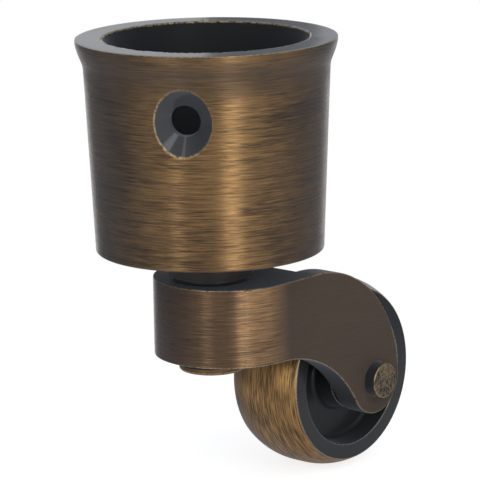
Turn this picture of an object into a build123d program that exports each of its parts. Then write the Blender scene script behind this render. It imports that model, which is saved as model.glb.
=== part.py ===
from build123d import *
import math
import os

# Cup castor: a socket cup that screws onto the end of a furniture leg, over a
# swivelling horn that carries a solid wheel on a trailing axle.
#
# Frame, in millimetres: +Z is up along the swivel axis, z = 0 is the floor inside
# the cup where the end of the leg stands, and +X is the way the wheel trails.
# The wheel's axle lies along Y.

# Cup
cup_height = 34.1
rim_diameter = 41.6
rim_land = 0.7
mouth_diameter = 32.6
neck_diameter = 39.2
neck_drop = 4.0
lip_bulge = 0.1
base_diameter = 36.5
seat_diameter = 30.0
floor_thickness = 4.2
base_rounding = 0.3
inner_root_rounding = 0.8
mouth_edge_break = 0.25
boss_diameter = 14.0
boss_height = 4.15
boss_edge_break = 0.3

# Screw holes through the cup wall
screw_hole_diameter = 4.9
screw_sink_diameter = 10.6
screw_sink_angle = 106
screw_hole_drop = 10.6
screw_hole_bearing = 210.5
screw_hole_count = 2

# Swivel pin and its washers
pin_diameter = 7.0
pin_head_diameter = 10.8
pin_head_thickness = 1.6
pin_head_rounding = 0.5
peen_diameter = 10.0
peen_depth = 1.6
thrust_washer_diameter = 12.4
thrust_washer_thickness = 0.85
head_washer_diameter = 9.8
head_washer_thickness = 0.4
swivel_clearance = 0.05

# Horn
drum_diameter = 23.8
drum_height = 12.8
drum_setback = 3.8
horn_edge_rounding = 0.3
axle_trail = 27.1
axle_drop = 20.45
tip_radius = 5.85
spot_face_margin = 0.4
slot_front = 12.0

# Wheel and axle
wheel_diameter = 32.0
wheel_width = 13.7
tread_flat = 2.0
crown_height = 1.6
rim_band = 2.5
recess_depth = 3.6
recess_draft = 0.4
recess_rounding = 0.8
hub_diameter = 11.2
hub_draft = 0.4
wheel_clearance = 1.0
wheel_side_clearance = 0.85
axle_diameter = 5.76
axle_stand_out = 1.95
axle_edge_break = 0.15
axle_clearance = 0.06

# Heights worked out from the stack, from the cup's floor downwards
rim_level = cup_height - floor_thickness
cup_underside = -floor_thickness
boss_face = cup_underside - boss_height
horn_top = boss_face - thrust_washer_thickness - swivel_clearance
horn_bottom = horn_top - drum_height
head_washer_top = horn_bottom - swivel_clearance
pin_head_top = head_washer_top - head_washer_thickness
pin_head_bottom = pin_head_top - pin_head_thickness
axle_level = horn_top - axle_drop

# Widths worked out from the fits
horn_half_width = drum_diameter / 2
slot_half_width = wheel_width / 2 + wheel_side_clearance
wheel_radius = wheel_diameter / 2
pin_radius = pin_diameter / 2
axle_radius = axle_diameter / 2
swivel_bore_radius = pin_radius + swivel_clearance
wheel_bore_radius = axle_radius + axle_clearance
axle_half_length = horn_half_width + axle_stand_out

axle_centre = (axle_trail, 0, axle_level)
axle_axis = Axis(axle_centre, (0, 1, 0))
axle_plane = Plane(origin=axle_centre, x_dir=(1, 0, 0), z_dir=(0, -1, 0))

os.makedirs("parts", exist_ok=True)


def finish(solid, label):
    solid.label = label
    export_step(solid, f"parts/{label}.step")


wall_slope = (neck_diameter - base_diameter) / 2 / (rim_level - neck_drop - cup_underside)


def wall_radius(level):
    """Outer radius of the cup's tapered wall at a height."""
    return base_diameter / 2 + wall_slope * (level - cup_underside)


# Cup: one turned piece, with the swivel boss under its floor
neck = (neck_diameter / 2, rim_level - neck_drop)
lip = (rim_diameter / 2, rim_level - rim_land)
lip_middle = ((neck[0] + lip[0]) / 2 + lip_bulge, (neck[1] + lip[1]) / 2)

with BuildPart() as cup:
    with BuildSketch(Plane.XZ):
        with BuildLine():
            Polyline(
                (0, 0),
                (seat_diameter / 2, 0),
                (mouth_diameter / 2, rim_level),
                (rim_diameter / 2, rim_level),
                lip,
            )
            ThreePointArc(lip, lip_middle, neck)
            Polyline(
                neck,
                (base_diameter / 2, cup_underside),
                (boss_diameter / 2, cup_underside),
                (boss_diameter / 2, boss_face),
                (0, boss_face),
                (0, 0),
            )
        make_face()
    revolve(axis=Axis.Z)

    base_edge = cup.edges().filter_by(GeomType.CIRCLE).group_by(Axis.Z)[1].sort_by(SortBy.RADIUS)[-1]
    fillet(base_edge, base_rounding)
    boss_edge = cup.edges().filter_by(GeomType.CIRCLE).group_by(Axis.Z)[0]
    chamfer(boss_edge, boss_edge_break)
    mouth_edge = cup.edges().filter_by(GeomType.CIRCLE).group_by(Axis.Z)[-1].sort_by(SortBy.RADIUS)[0]
    chamfer(mouth_edge, mouth_edge_break)
    seat_edge = cup.edges().filter_by(GeomType.CIRCLE).filter_by_position(Axis.Z, -0.01, 0.01)
    fillet(seat_edge, inner_root_rounding)

    # Pin hole with the countersink that its peened end fills
    with Locations(Plane.XY):
        Hole(pin_radius)
    with BuildSketch(Plane.XY):
        Circle(peen_diameter / 2)
    with BuildSketch(Plane.XY.offset(-peen_depth)):
        Circle(pin_radius)
    loft(mode=Mode.SUBTRACT)

    # Countersunk holes for the wood screws, square to the tapered wall and spaced evenly
    screw_level = rim_level - screw_hole_drop
    for index in range(screw_hole_count):
        bearing = math.radians(screw_hole_bearing + index * 360 / screw_hole_count)
        sideways = Vector(math.cos(bearing), math.sin(bearing), 0)
        mouth = sideways * wall_radius(screw_level) + Vector(0, 0, screw_level)
        with Locations(Plane(origin=mouth, z_dir=sideways - Vector(0, 0, wall_slope))):
            CounterSinkHole(
                radius=screw_hole_diameter / 2,
                counter_sink_radius=screw_sink_diameter / 2,
                depth=rim_diameter / 4,
                counter_sink_angle=screw_sink_angle,
            )

finish(cup.part, "cup")


# Swivel pin: flat head under the drum, shank, and the end peened into the cup's floor
with BuildPart() as swivel_pin:
    with BuildSketch(Plane.XZ):
        with BuildLine():
            Polyline(
                (0, 0),
                (peen_diameter / 2, 0),
                (pin_radius, -peen_depth),
                (pin_radius, pin_head_top),
                (pin_head_diameter / 2, pin_head_top),
                (pin_head_diameter / 2, pin_head_bottom),
                (0, pin_head_bottom),
                (0, 0),
            )
        make_face()
    revolve(axis=Axis.Z)
    fillet(swivel_pin.edges().filter_by(GeomType.CIRCLE).group_by(Axis.Z)[0], pin_head_rounding)

finish(swivel_pin.part, "swivel_pin")


# Washers: one takes the load between boss and horn, one runs on the pin's head
with BuildPart() as thrust_washer:
    with BuildSketch(Plane.XY.offset(boss_face)):
        Circle(thrust_washer_diameter / 2)
        Circle(pin_radius, mode=Mode.SUBTRACT)
    extrude(amount=-thrust_washer_thickness)

finish(thrust_washer.part, "thrust_washer")

with BuildPart() as head_washer:
    with BuildSketch(Plane.XY.offset(head_washer_top)):
        Circle(head_washer_diameter / 2)
        Circle(pin_radius, mode=Mode.SUBTRACT)
    extrude(amount=-head_washer_thickness)

finish(head_washer.part, "head_washer")


# Horn: one casting. Seen from the side, the flat top runs into a crest arc that comes
# down to the round tip about the axle, and the throat arc under it starts level at the
# drum and meets the tip in one smooth S.
crest_radius = axle_drop
crest_x = axle_trail + tip_radius - crest_radius
axle_fall = axle_level - horn_bottom
throat_run = axle_trail - drum_setback
throat_radius = (throat_run**2 + axle_fall**2 - tip_radius**2) / (2 * (tip_radius - axle_fall))
throat_centre = Vector(drum_setback, horn_bottom - throat_radius)
tip_centre = Vector(axle_trail, axle_level)
throat_direction = (throat_centre - tip_centre).normalized()
throat_angle = math.degrees(math.atan2(throat_direction.Y, throat_direction.X))

with BuildPart() as horn:
    with BuildSketch(Plane.XZ):
        with BuildLine():
            top = Line((drum_setback - horn_half_width, horn_top), (crest_x, horn_top))
            crest = RadiusArc(top @ 1, (axle_trail + tip_radius, axle_level), crest_radius)
            tip = CenterArc(tip_centre, tip_radius, 0, throat_angle)
            throat = RadiusArc(tip @ 1, (drum_setback, horn_bottom), -throat_radius)
            Polyline(throat @ 1, (drum_setback - horn_half_width, horn_bottom), top @ 0)
        make_face()
    extrude(amount=horn_half_width, both=True)

    # Seen from above, the front of the horn is the round drum
    with BuildSketch(Plane.XY.offset(horn_top)):
        with Locations((drum_setback, 0)):
            Circle(horn_half_width)
            Rectangle(axle_trail, drum_diameter, align=(Align.MIN, Align.CENTER))
    extrude(amount=-(axle_drop + wheel_diameter), mode=Mode.INTERSECT)

    outline = horn.edges().filter_by(Axis.Y, reverse=True).filter_by(Axis.Z, reverse=True)
    fillet(outline, horn_edge_rounding)

    # Wheel slot: straight front wall, hollowed to follow the wheel lower down
    with BuildSketch(Plane.XZ):
        with Locations((slot_front, horn_top)):
            Rectangle(axle_trail + tip_radius, axle_drop * 2, align=(Align.MIN, Align.CENTER))
        with Locations((axle_trail, axle_level)):
            Circle(wheel_radius + wheel_clearance)
    extrude(amount=slot_half_width, both=True, mode=Mode.SUBTRACT)

    # Bore for the swivel pin, spot face for its head, and holes for the axle
    with Locations(Plane.XY.offset(horn_top)):
        Hole(swivel_bore_radius, depth=drum_height * 2)
    with BuildSketch(Plane.XY.offset(horn_bottom)):
        Circle(pin_head_diameter / 2 + spot_face_margin)
    extrude(amount=-drum_height, mode=Mode.SUBTRACT)
    with Locations(axle_plane):
        Hole(axle_radius)

finish(horn.part, "horn")


# Wheel: turned from solid, crowned tread, recessed on both faces round a hub
half_width = wheel_width / 2
shoulder_radius = wheel_radius - crown_height
recess_mouth = shoulder_radius - rim_band
recess_root = recess_mouth - recess_draft
hub_face = hub_diameter / 2
hub_root = hub_face + hub_draft
web_half = half_width - recess_depth

with BuildPart() as wheel:
    with BuildSketch(Plane(origin=axle_centre, x_dir=(0, 1, 0), z_dir=(1, 0, 0))):
        with BuildLine():
            flat = Line((0, wheel_radius), (tread_flat / 2, wheel_radius))
            crown = TangentArc(flat @ 1, (half_width, shoulder_radius), tangent=(1, 0))
            Polyline(
                crown @ 1,
                (half_width, recess_mouth),
                (web_half, recess_root),
                (web_half, hub_root),
                (half_width, hub_face),
                (half_width, wheel_bore_radius),
                (0, wheel_bore_radius),
            )
            mirror(about=Plane.YZ)
        make_face()
    revolve(axis=axle_axis)

    circles = wheel.edges().filter_by(GeomType.CIRCLE)
    roots = circles.filter_by(lambda edge: edge.radius in (recess_root, hub_root))
    fillet(roots, recess_rounding)

finish(wheel.part, "wheel")


# Axle pin: plain pin, tight in both cheeks, with its ends standing out
with BuildPart() as axle_pin:
    with BuildSketch(axle_plane):
        Circle(axle_radius)
    extrude(amount=axle_half_length, both=True)
    chamfer(axle_pin.edges().filter_by(GeomType.CIRCLE), axle_edge_break)

finish(axle_pin.part, "axle_pin")
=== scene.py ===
"""Looks of the cup castor: its turned and cast pieces, their antiqued brass, and the studio.

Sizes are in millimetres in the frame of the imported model, whose z = 0 is the floor inside
the cup, and a finished mesh is scaled to metres. The castor's wheel trails towards +X and
its axle lies along Y.
"""

import logging
import math
from collections.abc import Callable, Iterable, Sequence
from dataclasses import dataclass, field
from enum import Enum

import bmesh
import bpy
from mathutils import Matrix, Vector, noise


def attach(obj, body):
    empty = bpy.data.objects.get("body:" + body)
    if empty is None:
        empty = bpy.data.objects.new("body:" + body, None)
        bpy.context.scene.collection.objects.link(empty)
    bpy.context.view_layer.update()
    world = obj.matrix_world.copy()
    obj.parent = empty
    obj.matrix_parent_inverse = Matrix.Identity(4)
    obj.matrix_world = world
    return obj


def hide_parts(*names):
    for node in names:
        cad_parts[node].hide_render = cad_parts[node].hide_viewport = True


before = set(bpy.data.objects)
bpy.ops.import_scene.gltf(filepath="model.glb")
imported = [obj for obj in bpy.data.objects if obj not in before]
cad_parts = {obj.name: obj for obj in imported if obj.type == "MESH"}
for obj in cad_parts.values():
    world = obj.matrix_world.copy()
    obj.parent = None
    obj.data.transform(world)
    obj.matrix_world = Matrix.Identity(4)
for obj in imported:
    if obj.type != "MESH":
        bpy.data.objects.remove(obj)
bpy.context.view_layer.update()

log = logging.getLogger("castor")

MM = 0.001
MERGE_WITHIN = 0.004
WORN = "worn"
BRUSHED = "brushed"
GLOSSY = "glossy"


class Body(Enum):
    """The bodies that the pieces ride on."""

    CUP = "cup"
    HORN = "horn"
    WHEEL = "wheel"


class Lay(Enum):
    """The direction that brushing or turning marks take on a piece."""

    LEVEL = "level"
    ROUND_AXLE = "round the axle"


@dataclass(frozen=True)
class Levels:
    """Heights that the pieces share, from the floor inside the cup."""

    rim: float = 29.9
    cup_underside: float = -4.2
    boss_face: float = -8.35
    horn_top: float = -9.25
    horn_bottom: float = -22.05
    head_washer_top: float = -22.1
    pin_head_top: float = -22.5
    pin_head_bottom: float = -24.1
    axle: float = -29.7
    ground: float = -45.7


@dataclass(frozen=True)
class ScrewHoles:
    """The two countersunk holes, opposite each other in the cup's wall."""

    bearing: float = 210.5
    level: float = 19.3
    radius: float = 2.45
    sink_radius: float = 5.3
    sink_angle: float = 106.0

    @property
    def flare(self) -> float:
        """How much the countersink's radius grows for each millimetre outwards."""
        return math.tan(math.radians(self.sink_angle / 2))


@dataclass(frozen=True)
class Shank:
    """The swivel pin's shank, and the cone in the cup's floor that its end is peened into."""

    radius: float = 3.5
    peen_radius: float = 5.0
    peen_depth: float = 1.6


LEVELS = Levels()
SCREWS = ScrewHoles()
SHANK = Shank()
AXLE_TRAIL = 27.1
AXLE_RADIUS = 2.88
AXLE_CENTRE = Vector((AXLE_TRAIL, 0.0, LEVELS.axle))


@dataclass(frozen=True)
class Corner:
    """One corner of a turned section: radius, height, and how far its rounding reaches."""

    radius: float
    height: float
    rounding: float = 0.0
    segments: int = 3


class Value:
    """A shader number: wraps a socket, so that an expression adds its Math nodes."""

    def __init__(self, shade: "Shade", socket: bpy.types.NodeSocket) -> None:
        """Keeps the material that the socket belongs to."""
        self.shade = shade
        self.socket = socket

    def _with(self, operation: str, first: object, second: object) -> "Value":
        """One Math node on two numbers or sockets."""
        return self.shade.maths(operation, first, second)

    def __add__(self, other: object) -> "Value":
        """Sum."""
        return self._with("ADD", self, other)

    __radd__ = __add__

    def __mul__(self, other: object) -> "Value":
        """Product."""
        return self._with("MULTIPLY", self, other)

    __rmul__ = __mul__

    def __sub__(self, other: object) -> "Value":
        """Difference."""
        return self._with("SUBTRACT", self, other)

    def __rsub__(self, other: object) -> "Value":
        """Difference, the other way round."""
        return self._with("SUBTRACT", other, self)

    def __pow__(self, other: object) -> "Value":
        """Power."""
        return self._with("POWER", self, other)


class Shade:
    """One node material or world, and the ways its nodes are added."""

    def __init__(self, tree: bpy.types.NodeTree) -> None:
        """Empties the node tree of a new material or world."""
        self.tree = tree
        tree.nodes.clear()

    def node(
        self, kind: str, settings: dict[str, object] | None = None, sockets: dict | None = None
    ) -> bpy.types.Node:
        """Adds a node.

        Args:
            kind: the node's type.
            settings: properties of the node, set first.
            sockets: values or links of its inputs, by name or number.

        Returns:
            The node.
        """
        made = self.tree.nodes.new(kind)
        for name, value in (settings or {}).items():
            setattr(made, name, value)
        for name, value in (sockets or {}).items():
            self.feed(made.inputs[name], value)
        return made

    def feed(self, socket: bpy.types.NodeSocket, value: object) -> None:
        """Links a socket or sets its value.

        Args:
            socket: the input.
            value: a Value, another socket, or a plain number, colour or vector.
        """
        if isinstance(value, Value):
            value = value.socket
        if isinstance(value, bpy.types.NodeSocket):
            self.tree.links.new(value, socket)
        elif isinstance(value, (tuple, list)) and socket.type == "RGBA":
            socket.default_value = (*value[:3], 1.0)
        else:
            socket.default_value = value

    def maths(self, operation: str, first: object, second: object = 0.0) -> Value:
        """Adds one Math node."""
        made = self.node("ShaderNodeMath", {"operation": operation}, {0: first, 1: second})
        return Value(self, made.outputs[0])

    def ramp(self, value: object, low: float, high: float) -> Value:
        """Smooth step of a value, 0 at low and 1 at high."""
        made = self.node(
            "ShaderNodeMapRange",
            {"interpolation_type": "SMOOTHSTEP"},
            {"Value": value, "From Min": low, "From Max": high},
        )
        return Value(self, made.outputs[0])

    def blend(self, factor: object, first: object, second: object) -> bpy.types.NodeSocket:
        """Mixes two colours."""
        made = self.node(
            "ShaderNodeMix", {"data_type": "RGBA"}, {0: factor, 6: first, 7: second}
        )
        return made.outputs[2]

    def stretched(self, vector: object, scales: Sequence[float]) -> bpy.types.NodeSocket:
        """A vector times a scale on each axis."""
        made = self.node(
            "ShaderNodeVectorMath", {"operation": "MULTIPLY"}, {0: vector, 1: tuple(scales)}
        )
        return made.outputs[0]

    def grain(self, vector: object, detail: float = 3.0, roughness: float = 0.55) -> Value:
        """Noise about 0.5 with one feature per unit of the vector."""
        made = self.node(
            "ShaderNodeTexNoise",
            {},
            {"Vector": vector, "Scale": 1.0, "Detail": detail, "Roughness": roughness},
        )
        return Value(self, made.outputs[0])

    def mark(self, name: str) -> Value:
        """A number stored on the faces of the piece."""
        made = self.node("ShaderNodeAttribute", {"attribute_name": name})
        return Value(self, made.outputs["Fac"])

    def place(self, centre: Sequence[float] = (0.0, 0.0, 0.0)) -> bpy.types.NodeSocket:
        """The point on the piece.

        Args:
            centre: where the point is measured from, in millimetres.

        Returns:
            The point in millimetres.
        """
        at = self.node("ShaderNodeTexCoord").outputs["Object"]
        made = self.node(
            "ShaderNodeMapping",
            {"vector_type": "POINT"},
            {
                "Vector": at,
                "Location": tuple(-c for c in centre),
                "Scale": (1 / MM, 1 / MM, 1 / MM),
            },
        )
        return made.outputs[0]

    def split(self, vector: object) -> tuple[Value, Value, Value]:
        """The x, y and z of a vector."""
        made = self.node("ShaderNodeSeparateXYZ", {}, {0: vector})
        return tuple(Value(self, out) for out in made.outputs)

    def join(self, x: object, y: object, z: object) -> bpy.types.NodeSocket:
        """A vector from three numbers."""
        return self.node("ShaderNodeCombineXYZ", {}, {0: x, 1: y, 2: z}).outputs[0]


@dataclass(frozen=True)
class AntiqueBrass:
    """Brass blackened by dipping, then brushed on the faces that a brush can reach.

    Faces marked as brushed show streaked brass under thin brown tarnish, the others keep
    the black, faces marked as worn are nearly bare, and glossy ones keep their lacquer.
    """

    name: str
    lay: Lay = Lay.LEVEL
    centre: tuple[float, float, float] = (0.0, 0.0, 0.0)
    tarnished: tuple[float, float, float] = (0.045, 0.026, 0.012)
    brass: tuple[float, float, float] = (0.310, 0.172, 0.061)
    bare: tuple[float, float, float] = (0.50, 0.35, 0.16)
    black: tuple[float, float, float] = (0.006, 0.006, 0.0065)
    bloom: tuple[float, float, float] = (0.86, 0.92, 1.0)
    streak_length: float = 7.0
    streak_width: float = 0.21
    fine_length: float = 2.6
    fine_width: float = 0.11
    metal: float = 0.88
    bare_metal: float = 0.9
    soot: float = 1.6
    roughness: float = 0.32
    black_roughness: float = 0.40
    bump: float = 0.45
    bump_depth: float = 0.12
    contrast: float = 1.35
    anisotropy: float = 0.0
    anisotropy_turn: float = 0.25
    sheen: float = 0.23
    shine: float = 0.3
    sheen_roughness: float = 0.6
    lacquer_roughness: float = 0.12
    long_share: float = 0.40
    fine_share: float = 0.38
    cloud_share: float = 0.22
    cloud_scale: float = 0.12
    speck_scale: float = 2.2
    wear_from: float = 0.34
    wear_to: float = 0.52

    def streaks(self, shade: Shade, at: object, length: float, width: float) -> Value:
        """Noise drawn out along the brushing.

        Args:
            shade: the material.
            at: the point in millimetres.
            length: how long a streak is.
            width: how wide a streak is.

        Returns:
            The noise, about 0.5.
        """
        x, y, z = shade.split(at)
        long, fine = 1 / length, 1 / width
        if self.lay is Lay.LEVEL:
            along = shade.join(x * long, y * long, z * fine)
        else:
            along = shade.join(x * long, y * fine, z * long)
        return shade.grain(along)

    def extra_wear_and_highlight(self, shade: Shade, at: object) -> Value | float:
        """Bare metal that follows a line on the piece, with any painted highlight along it, over
        what its faces are marked with.
        """
        return 0.0

    def unbrushed_and_shade(self, shade: Shade, at: object) -> Value | float:
        """How much black the brush left, and black painted as shade, on faces marked as brushed.
        """
        return 0.0

    def painted_brightness(self, shade: Shade, at: object) -> Value | float:
        """Painted light and shade on the brushed metal: how much brass shows over its tarnish, 1
        for all of it.
        """
        return 1.0

    def material(self) -> bpy.types.Material:
        """Builds the finish.

        Returns:
            The node material.
        """
        made = bpy.data.materials.new(self.name)
        made.use_nodes = True
        shade = Shade(made.node_tree)
        at = shade.place(self.centre)
        long = self.streaks(shade, at, self.streak_length, self.streak_width)
        fine = self.streaks(shade, at, self.fine_length, self.fine_width)
        cloud = shade.grain(shade.stretched(at, 3 * (self.cloud_scale,)), detail=2.0)
        speck = shade.grain(shade.stretched(at, 3 * (self.speck_scale,)), detail=4.0)
        tone = long * self.long_share + fine * self.fine_share + cloud * self.cloud_share
        spread = 0.25 / self.contrast
        bright = shade.ramp(tone, 0.5 - spread, 0.5 + spread)
        # The black taken off the brushed share includes painted shade, such as the band under the
        # cup's lip.
        brushed = shade.mark(BRUSHED) * (1 - self.unbrushed_and_shade(shade, at))
        # The brass is dimmed here by painted light and shade, as on the horn's drum front.
        shown = (0.5 + (bright - 0.5) * brushed) * self.painted_brightness(shade, at)
        brass = shade.blend(shown, self.tarnished, self.brass)
        # The worn share includes the countersinks' painted highlight.
        marked = shade.maths("ADD", shade.mark(WORN), self.extra_wear_and_highlight(shade, at))
        worn = shade.maths("MINIMUM", marked, 1.0) * shade.ramp(
            speck, self.wear_from, self.wear_to
        )
        soot = shade.blend(speck, self.black, tuple(self.soot * c for c in self.black))
        colour = shade.blend(brushed, soot, brass)
        colour = shade.blend(worn, colour, self.bare)
        metallic = shade.maths("MAXIMUM", brushed * self.metal, worn * self.bare_metal)
        brass_gloss = self.roughness + (0.5 - fine) * 0.5
        black_gloss = self.black_roughness + (speck - 0.5) * 0.2
        gloss = brushed * brass_gloss + (1 - brushed) * black_gloss
        bump = shade.node(
            "ShaderNodeBump",
            {},
            {
                "Strength": self.bump,
                "Distance": self.bump_depth * MM,
                "Height": (long * 0.5 + fine * 0.5) * brushed,
            },
        )
        surface = shade.node(
            "ShaderNodeBsdfPrincipled",
            {},
            {
                "Base Color": colour,
                "Metallic": metallic,
                "Roughness": gloss,
                "Anisotropic": self.anisotropy,
                "Anisotropic Rotation": self.anisotropy_turn,
                "Specular IOR Level": self.shine,
                "Sheen Weight": self.sheen,
                "Sheen Roughness": self.sheen_roughness,
                "Sheen Tint": self.bloom,
                "Coat Weight": shade.mark(GLOSSY),
                "Coat Roughness": self.lacquer_roughness,
                "Normal": bump.outputs[0],
            },
        )
        shade.node("ShaderNodeOutputMaterial", {}, {"Surface": surface.outputs[0]})
        return made


@dataclass(frozen=True)
class CountersunkBrass(AntiqueBrass):
    """The cup's brass, with a bright line where each countersink breaks through the wall.

    The wall's radius is the one at the level of the screw holes.
    """

    wall_radius: float = 19.3
    wall_slope: float = 0.045
    hollow_level: float = 25.7
    hollow_from: float = 0.4
    hollow_to: float = 4.2
    hollow_painted_shade: float = 0.42
    line_on_wall: float = 0.26
    line_in_sink: float = 0.20

    def unbrushed_and_shade(self, shade: Shade, at: object) -> Value | float:
        """Painted shade: a soft dark band in the hollow of the neck, under the lip.

        Args:
            shade: the material.
            at: the point in millimetres.

        Returns:
            How much black is painted there as shade.
        """
        _, _, z = shade.split(at)
        off_hollow = shade.maths("ABSOLUTE", z - self.hollow_level)
        gone = shade.ramp(off_hollow, self.hollow_from, self.hollow_to)
        # painted shade under the lip, darkest at the neck
        return self.hollow_painted_shade - gone * self.hollow_painted_shade

    def extra_wear_and_highlight(self, shade: Shade, at: object) -> Value | float:
        """The line where the cone of either countersink meets the wall.

        Args:
            shade: the material.
            at: the point in millimetres.

        Returns:
            How bare the metal is, with a painted highlight that makes the line brightest on its
            lower left.
        """
        x, y, z = shade.split(at)
        turn = math.radians(SCREWS.bearing)
        out = shade.maths("ABSOLUTE", x * math.cos(turn) + y * math.sin(turn))
        aside = y * math.cos(turn) - x * math.sin(turn)
        up = z - SCREWS.level
        proud = out - self.wall_radius - up * self.wall_slope
        raised = up + (out - self.wall_radius) * self.wall_slope
        off_axis = (aside * aside + raised * raised) ** 0.5
        cone = SCREWS.sink_radius
        off_cone = shade.maths("ABSOLUTE", off_axis - cone - proud * SCREWS.flare)
        wall = (x * x + y * y) ** 0.5 - self.wall_radius - up * self.wall_slope
        off_wall = shade.maths("ABSOLUTE", wall)
        on_cone = 1 - shade.ramp(off_cone, 0.3 * self.line_on_wall, self.line_on_wall)
        on_wall = 1 - shade.ramp(off_wall, 0.3 * self.line_in_sink, self.line_in_sink)
        # painted highlight: the worn line brightens towards its lower left
        highlight_side = shade.ramp(0.0 - aside - raised * 0.6, -3.0, 5.0) * 0.8 + 0.2
        return on_cone * on_wall * highlight_side


@dataclass(frozen=True)
class HornBrass(AntiqueBrass):
    """The horn's brass: painted shade dims the drum's front, which brightens to full brass round
    its flanks, and the cheeks are left darker.
    """

    fade_from: float = 0.8
    fade_to: float = 6.0
    flank_from: float = 7.6
    flank_to: float = 11.8
    front_painted_brightness: float = 0.33
    cheek_share: float = 0.25

    def painted_brightness(self, shade: Shade, at: object) -> Value | float:
        """Painted shade on the drum's front, brightening round to its flanks.

        Args:
            shade: the material.
            at: the point in millimetres.

        Returns:
            How bright the metal is painted there.
        """
        _, y, _ = shade.split(at)
        flank = shade.ramp(shade.maths("ABSOLUTE", y), self.flank_from, self.flank_to)
        # painted shade on the drum's front, full brightness on its flanks
        return self.front_painted_brightness + (1 - self.front_painted_brightness) * flank

    def unbrushed_and_shade(self, shade: Shade, at: object) -> Value | float:
        """Fades in where the drum runs out into the cheeks."""
        x, _, _ = shade.split(at)
        return (1 - self.cheek_share) * shade.ramp(x, self.fade_from, self.fade_to)


def turned(corners: Iterable[Corner], steps: int, solid: bool) -> bmesh.types.BMesh:
    """Spins a section round the Z axis.

    Args:
        corners: the section's corners in order, in the plane of radius and height.
        steps: how many steps the spin takes.
        solid: True where the section starts and ends on the axis.

    Returns:
        A closed mesh in millimetres.
    """
    corners = list(corners)
    bm = bmesh.new()
    verts = [bm.verts.new((c.radius, 0.0, c.height)) for c in corners]
    section = bm.faces.new(verts)
    for vert, corner in zip(verts, corners):
        if corner.rounding:
            bmesh.ops.bevel(
                bm,
                geom=[vert],
                offset=corner.rounding,
                offset_type="OFFSET",
                segments=corner.segments,
                profile=0.5,
                affect="VERTICES",
                material=-1,
            )
    bmesh.ops.delete(bm, geom=list(bm.faces), context="FACES_ONLY")
    if solid:
        on_axis = [e for e in bm.edges if all(abs(v.co.x) < 1e-6 for v in e.verts)]
        bmesh.ops.delete(bm, geom=on_axis, context="EDGES")
    bmesh.ops.spin(
        bm,
        geom=list(bm.verts) + list(bm.edges),
        cent=(0, 0, 0),
        axis=(0, 0, 1),
        dvec=(0, 0, 0),
        angle=2 * math.pi,
        steps=steps,
        use_merge=True,
        use_duplicate=False,
    )
    bmesh.ops.remove_doubles(bm, verts=list(bm.verts), dist=1e-5)
    bmesh.ops.recalc_face_normals(bm, faces=list(bm.faces))
    return bm


def laid_on_axle(bm: bmesh.types.BMesh) -> bmesh.types.BMesh:
    """Turns a piece spun round Z so that its axis lies along Y, and puts it on the axle.

    Args:
        bm: the piece.

    Returns:
        The same mesh.
    """
    turn = Matrix.Rotation(math.pi / 2, 4, "X")
    onto_axle = Matrix.Translation(AXLE_CENTRE)
    bmesh.ops.transform(bm, matrix=onto_axle @ turn, verts=list(bm.verts))
    return bm


def swept_edges(
    bm: bmesh.types.BMesh,
    start: bmesh.types.BMVert,
    centre: Vector,
    angle: float,
    steps: int,
) -> bmesh.types.BMVert:
    """Draws an arc in the XZ plane by spinning a vertex.

    Args:
        bm: the outline being drawn.
        start: the vertex that the arc starts at.
        centre: the arc's centre.
        angle: how far it turns about Y, in radians, from +Z towards +X where positive.
        steps: its number of edges.

    Returns:
        The vertex at the arc's end.
    """
    spun = bmesh.ops.spin(
        bm,
        geom=[start],
        cent=centre,
        axis=(0, 1, 0),
        dvec=(0, 0, 0),
        angle=angle,
        steps=steps,
        use_merge=False,
        use_duplicate=False,
    )
    return [g for g in spun["geom_last"] if isinstance(g, bmesh.types.BMVert)][0]


def prism(bm: bmesh.types.BMesh, outline: Sequence[bmesh.types.BMEdge], depth: Vector) -> None:
    """Fills a closed outline and extrudes it.

    Args:
        bm: the mesh that holds the outline.
        outline: its edges.
        depth: how far and which way it is extruded.
    """
    face = bmesh.ops.contextual_create(bm, geom=list(outline))["faces"][0]
    pushed = bmesh.ops.extrude_face_region(bm, geom=[face], use_keep_orig=True)["geom"]
    verts = [g for g in pushed if isinstance(g, bmesh.types.BMVert)]
    bmesh.ops.translate(bm, verts=verts, vec=depth)
    bmesh.ops.recalc_face_normals(bm, faces=list(bm.faces))


def drill(radius: float, start: Vector, end: Vector, steps: int = 96) -> bmesh.types.BMesh:
    """A plain cylinder between two points, for cutting a hole.

    Args:
        radius: its radius.
        start: the middle of one end.
        end: the middle of the other end.
        steps: its number of sides.

    Returns:
        The cutter's mesh.
    """
    bm = bmesh.new()
    bmesh.ops.create_cone(
        bm,
        cap_ends=True,
        segments=steps,
        radius1=radius,
        radius2=radius,
        depth=(end - start).length,
    )
    turn = (end - start).to_track_quat("Z", "Y").to_matrix().to_4x4()
    middle = Matrix.Translation((start + end) / 2)
    bmesh.ops.transform(bm, matrix=middle @ turn, verts=list(bm.verts))
    return bm


def loose_object(bm: bmesh.types.BMesh, name: str) -> bpy.types.Object:
    """Puts a bmesh into the scene, in the units that it has.

    Args:
        bm: the mesh, which is used up.
        name: the object's name.

    Returns:
        The object.
    """
    mesh = bpy.data.meshes.new(name)
    bm.to_mesh(mesh)
    bm.free()
    made = bpy.data.objects.new(name, mesh)
    bpy.context.scene.collection.objects.link(made)
    return made


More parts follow.
